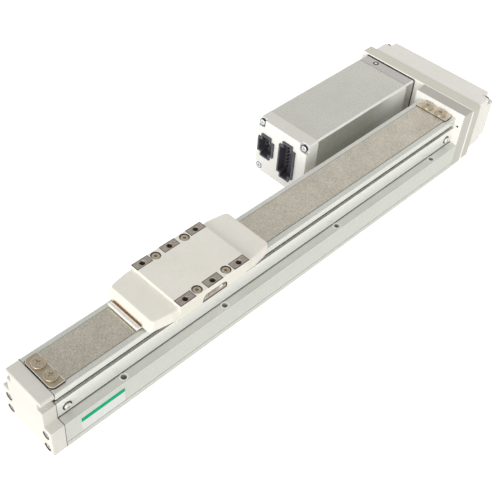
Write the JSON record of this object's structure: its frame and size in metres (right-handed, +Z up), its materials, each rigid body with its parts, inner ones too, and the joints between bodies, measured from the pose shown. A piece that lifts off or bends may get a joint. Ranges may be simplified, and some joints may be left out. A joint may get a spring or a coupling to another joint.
{
  "type": "electric slide actuator",
  "caption": "Slim ball screw slider with a covered carriage and a square motor folded back beside its body.",
  "frame": {"origin": "centre of the body extrusion's mounting face", "axes": "+X along the travel towards the belt drive, +Y towards the motor, +Z up from the mounting face"},
  "size_m": [0.495, 0.1248, 0.0631],
  "materials": {
    "anodized_body": "satin anodized extrusion",
    "painted_casting": "cream paint, satin",
    "white_resin": "moulded resin, satin",
    "ground_steel": "ground",
    "stainless_strip": "rolled strip, satin",
    "plated_fastener": "plated",
    "bearing_steel": "polished",
    "die_cast_aluminium": "die cast",
    "motor_lamination": "grey paint over steel",
    "soft_rubber": "matte",
    "scraper_resin": "moulded resin, satin",
    "connector_resin": "moulded resin, matte",
    "contact_gold": "gold plated",
    "board_resin": "laminate"
  },
  "bodies": {
    "base": {"band_clamp_front": "stainless_strip", "band_clamp_rear": "stainless_strip", "band_clamp_screws": "plated_fastener", "bearing_bracket": "painted_casting", "body_extrusion": "anodized_body", "bracket_screws": "plated_fastener", "bumper_front": "soft_rubber", "bumper_rear": "soft_rubber", "drive_plate": "painted_casting", "encoder_board": "board_resin", "end_cover": "painted_casting", "end_cover_screws": "plated_fastener", "front_bearing": "bearing_steel", "guide_rail_motor_side": "ground_steel", "guide_rail_open_side": "ground_steel", "large_connector": "connector_resin", "large_connector_pins": "contact_gold", "motor_bearing_front": "bearing_steel", "motor_bearing_rear": "bearing_steel", "motor_cap": "white_resin", "motor_cap_screws": "plated_fastener", "motor_flange": "die_cast_aluminium", "motor_screws": "plated_fastener", "motor_stack": "motor_lamination", "plate_screws": "plated_fastener", "pulley_cover": "white_resin", "pulley_cover_screws": "plated_fastener", "rear_bearing_inner": "bearing_steel", "rear_bearing_outer": "bearing_steel", "seal_band": "stainless_strip", "side_screws": "plated_fastener", "small_connector": "connector_resin", "small_connector_pins": "contact_gold", "timing_belt": "soft_rubber", "top_cover": "anodized_body", "travel_stop_front": "anodized_body", "travel_stop_rear": "anodized_body"},
    "carriage": {"guide_block": "ground_steel", "return_cap_front": "white_resin", "return_cap_rear": "white_resin", "return_cap_screws": "plated_fastener", "ball_nut": "ground_steel", "saddle": "painted_casting", "saddle_screws": "plated_fastener", "slide_table": "ground_steel", "table_screws": "plated_fastener", "table_cover": "white_resin", "scraper_holder_front": "scraper_resin", "scraper_holder_rear": "scraper_resin", "scraper_lip_front": "soft_rubber", "scraper_lip_rear": "soft_rubber"},
    "drive_screw": {"ball_screw": "ground_steel", "screw_pulley": "die_cast_aluminium", "lock_nut": "ground_steel"},
    "rotor": {"motor_shaft": "ground_steel", "motor_rotor": "motor_lamination", "motor_pulley": "die_cast_aluminium", "encoder_disc": "board_resin"}
  },
  "joints": [
    {"name": "carriage_slide", "type": "slide", "parent": "base", "child": "carriage", "axis": [1, 0, 0], "range_m": [-0.058, 0.222]},
    {"name": "screw_spin", "type": "hinge", "parent": "base", "child": "drive_screw", "pos_m": [0, 0, 0.0283], "axis": [1, 0, 0], "range_deg": [-6662, 1742]},
    {"name": "motor_spin", "type": "hinge", "parent": "base", "child": "rotor", "pos_m": [0.15, 0.064, 0.0283], "axis": [1, 0, 0], "range_deg": [-6662, 1742]}
  ],
  "couplings": [
    {"joint": "screw_spin", "follows": "carriage_slide", "rad_per_m": -523.6},
    {"joint": "motor_spin", "follows": "carriage_slide", "rad_per_m": -523.6}
  ]
}
